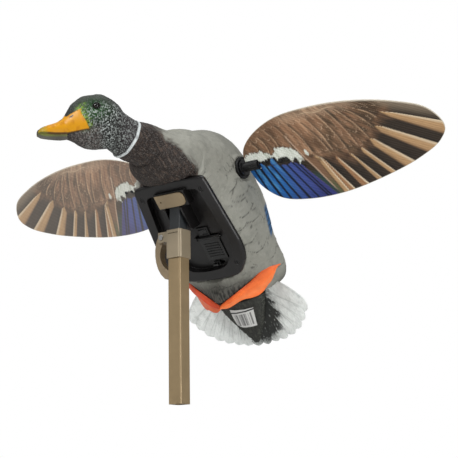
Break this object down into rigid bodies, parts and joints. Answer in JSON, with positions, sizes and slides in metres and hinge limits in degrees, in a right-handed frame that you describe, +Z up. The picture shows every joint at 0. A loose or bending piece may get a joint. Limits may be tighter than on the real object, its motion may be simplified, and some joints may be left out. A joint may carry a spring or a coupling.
{
  "type": "motion wing decoy",
  "caption": "Full-size flying drake duck decoy that plugs onto a square pole, with flat printed wings that a battery motor spins.",
  "frame": {"origin": "middle of the pole section's open lower end", "axes": "+Z up along the pole, +X the way the bird flies, +Y to the bird's left"},
  "size_m": [0.3647, 0.6752, 0.3514],
  "materials": {
    "pole_metal": "satin tan paint on steel tube",
    "tan_plastic": "satin moulded plastic",
    "steel": "plain bright steel",
    "plumage": "matte painted plastic with a feather texture",
    "head_paint": "matte to satin painted plastic",
    "eye_gloss": "gloss",
    "tray_black": "satin moulded plastic",
    "peg_grey": "satin moulded plastic",
    "foot_orange": "satin painted plastic",
    "tail_paint": "matte painted plastic",
    "label_white": "matte printed film",
    "black_plastic": "satin moulded plastic",
    "wing_print": "matte printed sheet",
    "brass_strip": "bright",
    "gear_white": "satin moulded plastic",
    "motor_metal": "plated",
    "cell_case": "printed sleeve",
    "wire_red": "matte sleeve",
    "wire_black": "matte sleeve"
  },
  "bodies": {
    "pole": {"pole_tube": "pole_metal", "pole_collar": "tan_plastic", "lever_pin": "steel"},
    "decoy": {"body_shell": "plumage", "head_screw": "steel", "tail_fan": "tail_paint", "label_sticker": "label_white", "foot_left": "foot_orange", "foot_right": "foot_orange", "belly_tray": "tray_black", "mounting_peg": "peg_grey", "badge_plate": "tan_plastic", "tray_screw_1": "black_plastic", "tray_screw_2": "black_plastic", "tray_screw_3": "black_plastic", "tray_screw_4": "black_plastic", "battery_holder": "black_plastic", "battery_cell_1": "cell_case", "battery_cell_2": "cell_case", "battery_cell_3": "cell_case", "battery_cell_4": "cell_case", "battery_contact": "brass_strip", "door_hinge_pin": "steel", "switch_body": "black_plastic", "gear_bracket": "motor_metal", "bracket_screw_1": "steel", "bracket_screw_2": "steel", "motor_can": "motor_metal", "motor_lead_red": "wire_red", "motor_lead_black": "wire_black", "switch_lead": "wire_red", "shaft_bush_left": "black_plastic", "shaft_bush_right": "black_plastic", "head_shell": "head_paint", "eye_left": "eye_gloss", "eye_right": "eye_gloss"},
    "lever": {"clamp_lever": "tan_plastic"},
    "wing_shaft": {"drive_shaft": "steel", "drive_gear": "gear_white", "wing_hub_left": "black_plastic", "wing_hub_right": "black_plastic", "hub_magnet_left": "steel", "hub_magnet_right": "steel"},
    "wing_left": {"wing_sheet_left": "wing_print", "wing_stem_left": "black_plastic", "wing_rivet_left_1": "black_plastic", "wing_rivet_left_2": "black_plastic", "wing_rivet_left_3": "black_plastic"},
    "wing_right": {"wing_sheet_right": "wing_print", "wing_stem_right": "black_plastic", "wing_rivet_right_1": "black_plastic", "wing_rivet_right_2": "black_plastic", "wing_rivet_right_3": "black_plastic"},
    "motor_rotor": {"motor_shaft": "steel", "motor_pinion": "brass_strip"},
    "door": {"battery_door": "tray_black", "door_contact": "brass_strip"},
    "latch": {"door_latch": "tray_black"},
    "rocker": {"switch_rocker": "black_plastic"}
  },
  "joints": [
    {"name": "lever_pivot", "type": "hinge", "parent": "pole", "child": "lever", "pos_m": [0, -0.0206, 0.2042], "axis": [-1, 0, 0], "range_deg": [0, 95]},
    {"name": "lift_off", "type": "slide", "parent": "pole", "child": "decoy", "axis": [0, 0, 1], "range_m": [0, 0.06]},
    {"name": "wing_spin", "type": "hinge", "parent": "decoy", "child": "wing_shaft", "pos_m": [-0.0495, 0, 0.2912], "axis": [0, 1, 0], "continuous": true},
    {"name": "wing_left_pull", "type": "slide", "parent": "wing_shaft", "child": "wing_left", "axis": [0, 1, 0], "range_m": [0, 0.03]},
    {"name": "wing_right_pull", "type": "slide", "parent": "wing_shaft", "child": "wing_right", "axis": [0, -1, 0], "range_m": [0, 0.03]},
    {"name": "motor_spin", "type": "hinge", "parent": "decoy", "child": "motor_rotor", "pos_m": [-0.02355, 0, 0.29279], "axis": [0, 1, 0], "continuous": true},
    {"name": "door_hinge", "type": "hinge", "parent": "decoy", "child": "door", "pos_m": [-0.03683, 0.017, 0.20682], "axis": [0, -1, 0], "range_deg": [0, 80]},
    {"name": "latch_slide", "type": "slide", "parent": "decoy", "child": "latch", "axis": [0, 1, 0], "range_m": [0, 0.006]},
    {"name": "switch_rock", "type": "hinge", "parent": "decoy", "child": "rocker", "pos_m": [-0.03313, 0.013, 0.21462], "axis": [-0.6626, 0, -0.749], "range_deg": [0, 24]}
  ],
  "couplings": [
    {"joint": "motor_spin", "follows": "wing_spin", "ratio": -3.3333}
  ]
}
